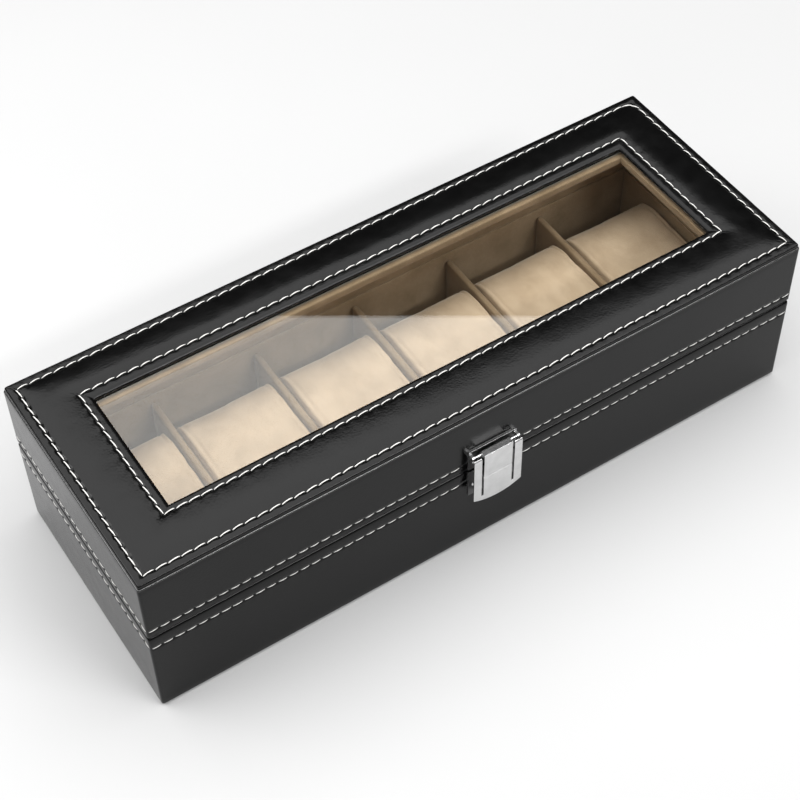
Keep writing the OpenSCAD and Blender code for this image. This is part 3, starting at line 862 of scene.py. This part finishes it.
def profile_point(t, half_y, half_z, radius):
    """Point on the cushion's round-cornered profile. t counts the profile's cells, from the lower front."""
    sides = [((-1, -1), (1, -1), LONG_CELLS), ((1, -1), (1, 1), TALL_CELLS),
             ((1, 1), (-1, 1), LONG_CELLS), ((-1, 1), (-1, -1), TALL_CELLS)]
    for a, b, cells in sides:
        if t <= cells:
            u = t / cells
            y = (a[0] + (b[0] - a[0]) * u) * half_y
            z = (a[1] + (b[1] - a[1]) * u) * half_z
            break
        t -= cells
    core_y = max(-half_y + radius, min(half_y - radius, y))
    core_z = max(-half_z + radius, min(half_z - radius, z))
    dy, dz = y - core_y, z - core_z
    length = math.hypot(dy, dz)
    if length > radius:
        y, z = core_y + dy / length * radius, core_z + dz / length * radius
    return y, z


def cushion_mesh(name, half, radius):
    """Cushion cover before it is filled: a wrap and two end panels, sewn along the ends' edges."""
    ring = 2 * (LONG_CELLS + TALL_CELLS)
    outline = [profile_point(t, half[1], half[2], radius) for t in range(ring)]
    points, faces, seam = [], [], []
    for i in range(CROSS_CELLS + 1):
        x = -half[0] + 2 * half[0] * i / CROSS_CELLS
        points += [(x, y, z) for y, z in outline]
    for i in range(CROSS_CELLS):
        for t in range(ring):
            a, b = i * ring + t, i * ring + (t + 1) % ring
            faces.append((a, b, b + ring, a + ring))
    seam += list(range(ring)) + [CROSS_CELLS * ring + t for t in range(ring)]
    for end in (0, 1):
        first = end * CROSS_CELLS * ring
        x = points[first][0]
        corner = [0, LONG_CELLS, LONG_CELLS + TALL_CELLS, 2 * LONG_CELLS + TALL_CELLS]
        lattice = {}
        for i in range(LONG_CELLS + 1):
            lattice[i, 0] = first + i
            lattice[i, TALL_CELLS] = first + corner[2] + LONG_CELLS - i
        for j in range(1, TALL_CELLS):
            lattice[LONG_CELLS, j] = first + corner[1] + j
            lattice[0, j] = first + (corner[3] + TALL_CELLS - j) % ring
        for i in range(1, LONG_CELLS):
            for j in range(1, TALL_CELLS):
                u, v = i / LONG_CELLS, j / TALL_CELLS
                low = outline_at(outline, i)
                high = outline_at(outline, corner[2] + LONG_CELLS - i)
                left = outline_at(outline, corner[3] + TALL_CELLS - j)
                right = outline_at(outline, corner[1] + j)
                c = [outline_at(outline, k) for k in corner]
                spot = (1 - v) * low + v * high + (1 - u) * left + u * right
                spot -= (1 - u) * (1 - v) * c[0] + u * (1 - v) * c[1] + u * v * c[2] + (1 - u) * v * c[3]
                lattice[i, j] = len(points)
                points.append((x, spot[0], spot[1]))
        for i in range(LONG_CELLS):
            for j in range(TALL_CELLS):
                face = (lattice[i, j], lattice[i + 1, j], lattice[i + 1, j + 1], lattice[i, j + 1])
                faces.append(face if end else face[::-1])
    piece = mesh_object(name, points, faces)
    outward(piece)
    return piece, seam


def outline_at(outline, t):
    return np.array(outline[t % len(outline)])


def inflate(piece, seam, cap):
    """Cloth simulation: the cover fills under pressure, held along its sewn edges. cap limits each axis."""
    start = np.array([v.co for v in piece.data.vertices])
    piece.data.transform(Matrix.Scale(SIM_SCALE, 4))
    held = piece.vertex_groups.new(name="held")
    held.add(seam, 0.55, "REPLACE")
    cloth = piece.modifiers.new("cloth", "CLOTH")
    settings = cloth.settings
    settings.quality = 6
    settings.mass = 0.25
    settings.tension_stiffness = settings.compression_stiffness = 18
    settings.shear_stiffness = 6
    settings.bending_stiffness = 1.2
    settings.use_pressure = True
    settings.uniform_pressure_force = 4.0
    settings.effector_weights.gravity = 0
    settings.vertex_group_mass = "held"
    cloth.collision_settings.use_collision = False
    cloth.point_cache.frame_start, cloth.point_cache.frame_end = 1, LAST_FRAME
    for step in range(1, LAST_FRAME + 1):
        scene.frame_set(step)
    filled = piece.evaluated_get(bpy.context.evaluated_depsgraph_get())
    end = np.array([v.co for v in filled.data.vertices]) / SIM_SCALE
    piece.modifiers.remove(cloth)
    piece.vertex_groups.clear()
    scene.frame_set(1)
    moved = np.clip(end - start, -np.array(cap), np.array(cap))
    piece.data.vertices.foreach_set("co", (start + moved).ravel())
    piece.data.update()


def refine(piece, levels):
    smooth = piece.modifiers.new("smooth", "SUBSURF")
    smooth.levels = smooth.render_levels = levels
    bpy.context.view_layer.objects.active = piece
    bpy.ops.object.modifier_apply(modifier=smooth.name)


def finish_cushion(piece, half, radius, floor_z, seed):
    """Sewn edges, shallow folds that run in from them, and the flat underside."""
    co = np.array([v.co for v in piece.data.vertices])
    normals = np.array([v.normal for v in piece.data.vertices])
    core_y = np.clip(co[:, 1], -half[1] + radius, half[1] - radius)
    core_z = np.clip(co[:, 2], -half[2] + radius, half[2] - radius)
    to_side = radius - np.hypot(co[:, 1] - core_y, co[:, 2] - core_z)
    to_end = half[0] - np.abs(co[:, 0])
    from_seam = np.hypot(np.maximum(to_side, 0), np.maximum(to_end - 0.9 * MM, 0))
    wrapped = to_side < 1.6 * MM
    groove = np.where(wrapped, bump(to_end - 1.6 * MM, 0.55 * MM), 0)
    ridge = np.where(wrapped, bump(to_end - 0.2 * MM, 0.8 * MM), 0)
    folds = bump(from_seam, 7 * MM) * ripple(co * np.array([0.35, 1, 1]), 9 * MM, seed)
    soft = ripple(co, 26 * MM, seed + 100)
    lift = -0.5 * MM * groove + 0.12 * MM * ridge + 0.22 * MM * folds + 0.22 * MM * soft - 0.1 * MM
    co += normals * lift[:, None]
    co[:, 2] = np.maximum(co[:, 2], floor_z)
    piece.data.vertices.foreach_set("co", co.ravel())
    piece.data.update()


def cushion_core(name, cover, depth):
    """The filling: the cover's own shape, a little smaller."""
    mesh = cover.data.copy()
    mesh.name = name
    co = np.array([v.co - v.normal * depth for v in cover.data.vertices])
    mesh.vertices.foreach_set("co", co.ravel())
    mesh.update()
    return new_object(name, mesh)


def make_cushions():
    count = sum(1 for name in frame["bodies"] if name.startswith("cushion_"))
    for n in range(1, count + 1):
        lo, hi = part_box(f"cushion_{n}_cover")
        middle = (lo + hi) / 2
        full = (hi - lo) / 2
        half = [full[k] - SMALLER[k] for k in range(3)]
        cover, seam = cushion_mesh(f"cushion_{n}", half, CUSHION_R)
        inflate(cover, seam, PUFF)
        refine(cover, 2)
        finish_cushion(cover, half, CUSHION_R, -full.z, 70 + n)
        draw = np.random.RandomState(80 + n)
        turn = Matrix.Rotation(math.radians(draw.uniform(-0.5, 0.5)), 4, "Z")
        shift = Vector((draw.uniform(-0.1, 0.1), draw.uniform(-1.2, 1.2), 0)) * MM
        cover.data.transform(Matrix.Translation(middle + shift) @ turn)
        body = f"cushion_{n}"
        core = cushion_core(f"{body}_core", cover, 1.6 * MM)
        dress(cover, body, "beige_velvet", CUSHION_VELVET, f"{body}_cover")
        dress(core, body, "foam", FOAM, f"{body}_filling")


# ---------------------------------------------------------------- metal


def make_metal():
    """Sheet-metal pieces keep their CAD shape, with their edges rounded as stamped sheet is."""
    for node, body in (("latch_flap", "latch_flap"), ("latch_bracket", "lid"), ("latch_keeper", "base")):
        sheet = dress(rounded_copy(f"{node}_sheet", node, 0.13 * MM, 3), body, "latch_nickel", NICKEL, node)
        # the flap's inner faces and the plates' faces behind it get near-black nickel: painted shade for the
        # shadow behind the flap
        sheet.data.materials.append(NICKEL_PAINTED_SHADE)
        for face in sheet.data.polygons:
            inside = face.normal.y > 0.3 if node == "latch_flap" else face.normal.y < -0.7
            face.material_index = int(inside)
    for side in ("left", "right"):
        for part, body in (("base_leaf", "base"), ("lid_leaf", "lid")):
            node = f"hinge_{side}_{part}"
            dress(rounded_copy(f"{node}_sheet", node, 0.08 * MM), body, "hinge_steel", STEEL, node)


# ---------------------------------------------------------------- stage, light and camera

# the photo's camera, as fitted to the case's corners and edges: metres, degrees and a lens in mm
CAMERA_AT = (-0.2589, -0.4062, 0.6081)
CAMERA_AZIMUTH, CAMERA_ELEVATION, CAMERA_ROLL = -31.815, 50.342, -1.392
CAMERA_LENS = 82.52


def make_camera():
    data = bpy.data.cameras.new("camera")
    data.sensor_width = 36
    data.lens = CAMERA_LENS
    data.clip_start = 0.01
    az, el, roll = (math.radians(a) for a in (CAMERA_AZIMUTH, CAMERA_ELEVATION, CAMERA_ROLL))
    back = Vector((math.sin(az) * math.cos(el), -math.cos(az) * math.cos(el), math.sin(el)))
    right = (-back).cross(Vector((0, 0, 1))).normalized()
    up = back.cross(right)
    turned_right = right * math.cos(roll) + up * math.sin(roll)
    turned_up = -right * math.sin(roll) + up * math.cos(roll)
    camera = bpy.data.objects.new("camera", data)
    basis = Matrix((turned_right, turned_up, back)).transposed()
    camera.matrix_world = Matrix.Translation(CAMERA_AT) @ basis.to_4x4()
    scene.collection.objects.link(camera)
    scene.camera = camera


def make_floor():
    bpy.ops.mesh.primitive_plane_add(size=8)
    floor = bpy.context.object
    floor.name = "floor"
    floor.data.materials.append(floor_material())


def area_light(name, at, target, size_x, size_y, power):
    data = bpy.data.lights.new(name, "AREA")
    data.shape, data.size, data.size_y = "RECTANGLE", size_x, size_y
    data.energy = power
    light = bpy.data.objects.new(name, data)
    light.location = at
    direction = Vector(target) - Vector(at)
    light.rotation_euler = direction.to_track_quat("-Z", "Y").to_euler()
    scene.collection.objects.link(light)
    return light


def make_lights():
    """A wide softbox overhead, whose far edge shows in the glass, and lights all round for the floor."""
    heading = math.radians(33.7)
    away = Vector((math.sin(heading), math.cos(heading), 0))
    height, far_edge, depth, width = 1.25, 1.066, 1.9, 2.4
    middle = away * (far_edge - depth / 2) + Vector((0, 0, height))
    softbox = area_light("softbox", middle, (0, 0, 0), width, depth, 38)
    softbox.rotation_euler = (0, 0, -heading)
    area_light("key", away * -1.5 + Vector((0, 0, 1.5)), (0, 0, 0), 1.2, 1.2, 6)
    area_light("edge", (0.55, -1.05, 1.1), (0.55, 0, 0.05), 0.9, 0.12, 9)
    area_light("left_floor", (-0.65, 0.3, 0.5), (-0.6, 0.35, 0), 0.5, 0.5, 2.9)
    world = bpy.data.worlds.new("studio")
    world.use_nodes = True
    world.node_tree.nodes["Background"].inputs["Color"].default_value = (1, 1, 1, 1)
    world.node_tree.nodes["Background"].inputs["Strength"].default_value = 0.02
    scene.world = world
    scene.view_settings.view_transform = "Standard"
    scene.view_settings.look = "None"


make_camera()
make_floor()
make_lights()
dress_cad_nodes()
make_leather()
make_foam()
make_stitches()
make_linings()
make_ceiling()
make_cushions()
make_metal()
